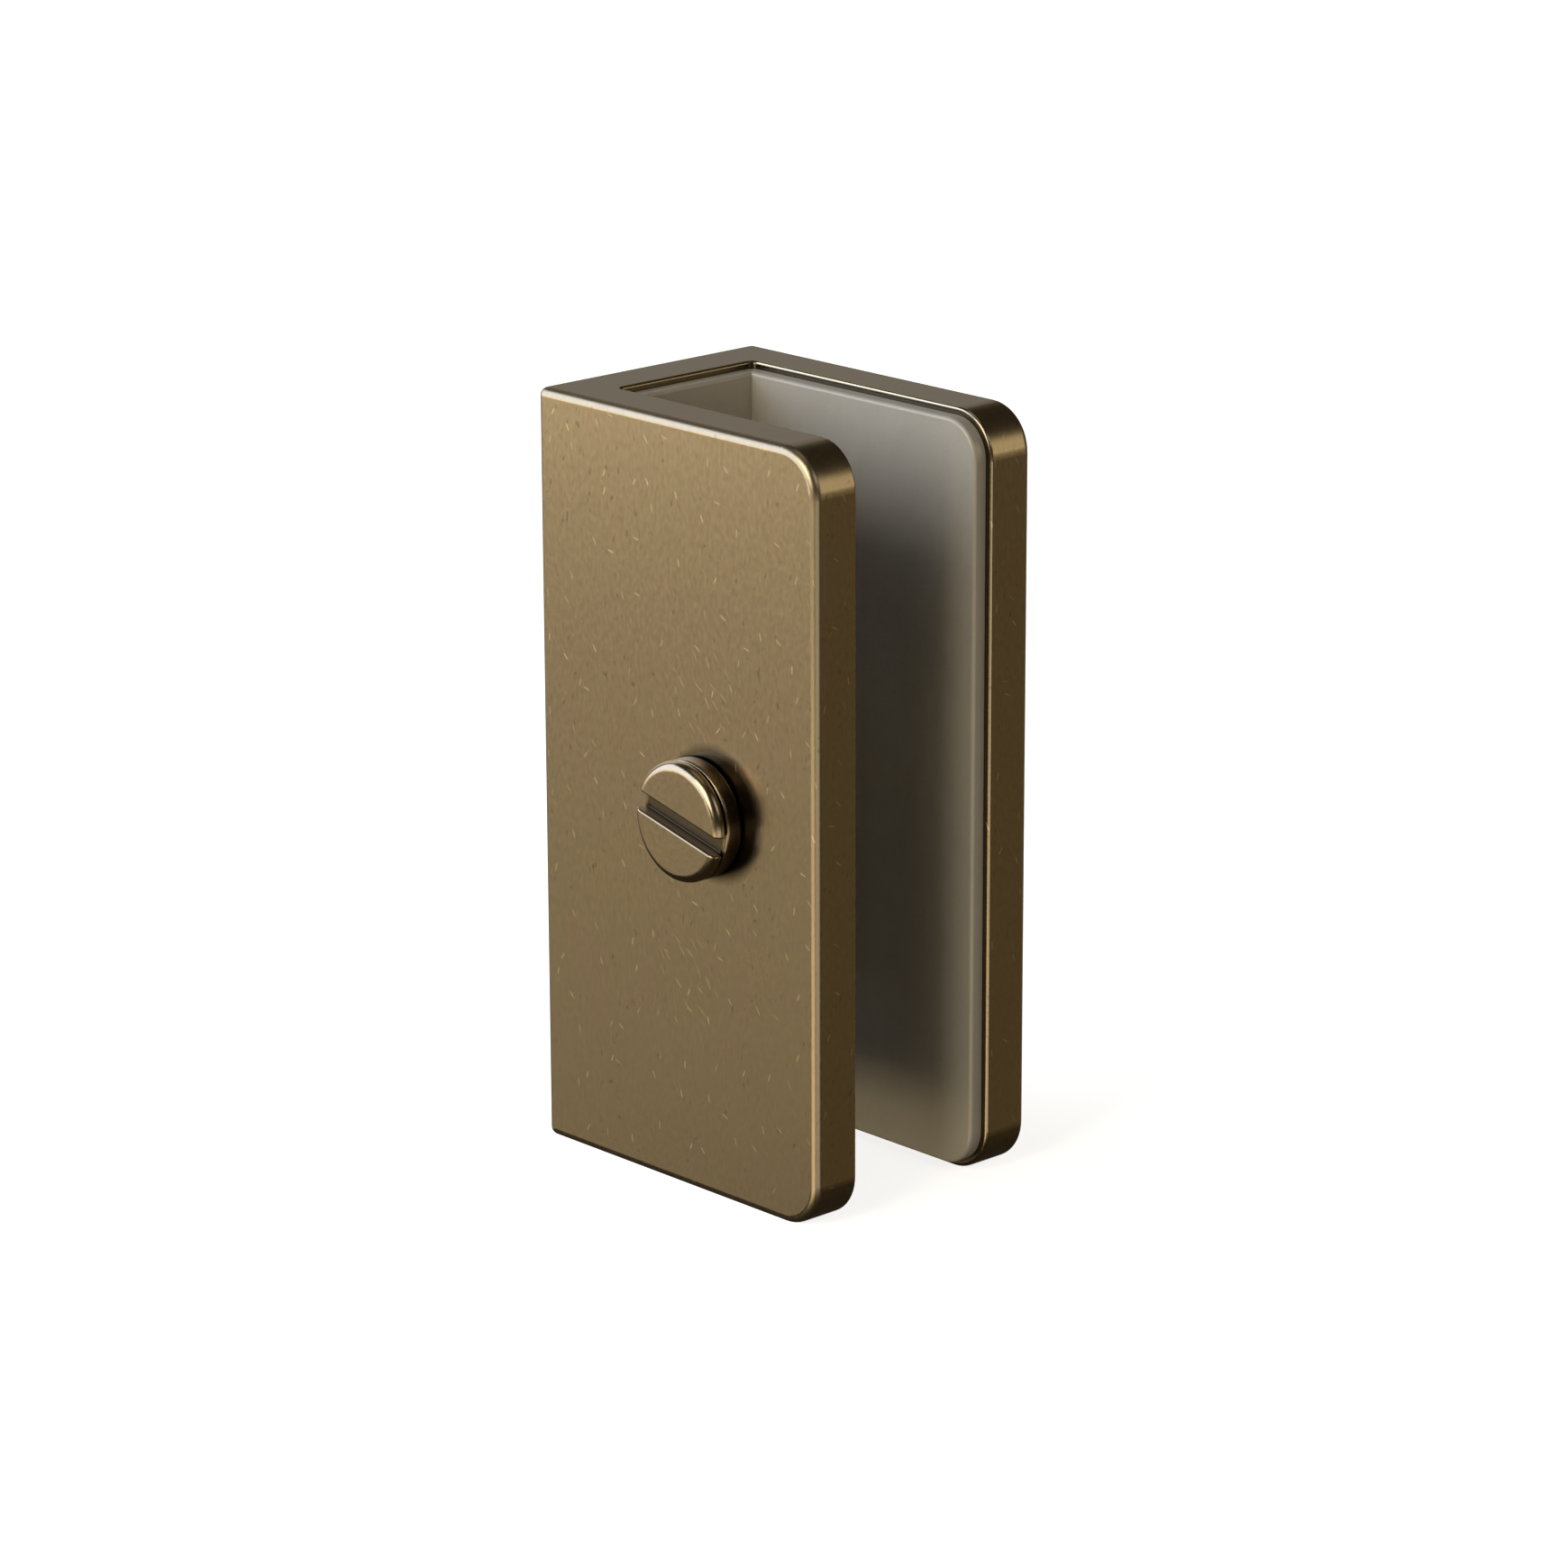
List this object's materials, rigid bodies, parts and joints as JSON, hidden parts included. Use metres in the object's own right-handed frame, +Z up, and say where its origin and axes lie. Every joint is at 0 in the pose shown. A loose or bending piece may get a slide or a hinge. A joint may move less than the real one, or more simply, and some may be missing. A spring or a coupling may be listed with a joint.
{
  "type": "shower glass u bracket",
  "caption": "U-shaped brass wall bracket that holds a shower glass edge in a rubber-lined channel, clamped by a slotted screw.",
  "frame": {"origin": "centre of the flat face that lies on the wall", "axes": "+X from the wall out of the channel's mouth, +Z up along the glass edge, -Y out of the cheek that carries the clamp screw"},
  "size_m": [0.0255, 0.0208, 0.05],
  "materials": {
    "body_brass": "fine vertical brushed, aged",
    "screw_brass": "turned, aged",
    "liner_rubber": "satin grey",
    "pad_nylon": "natural"
  },
  "bodies": {
    "bracket": {"bracket_body": "body_brass", "glass_liner": "liner_rubber"},
    "pad": {"pressure_pad": "pad_nylon"},
    "screw": {"clamp_screw": "screw_brass"}
  },
  "joints": [
    {"name": "pad_slide", "type": "slide", "parent": "bracket", "child": "pad", "axis": [0, -1, 0], "range_m": [0, 0.002]},
    {"name": "screw_turn", "type": "hinge", "parent": "pad", "child": "screw", "pos_m": [0.0151, -0.00925, 0], "axis": [0, -1, 0], "range_deg": [0, 900]}
  ],
  "couplings": [
    {"joint": "screw_turn", "follows": "pad_slide", "rad_per_m": 7853.9}
  ]
}
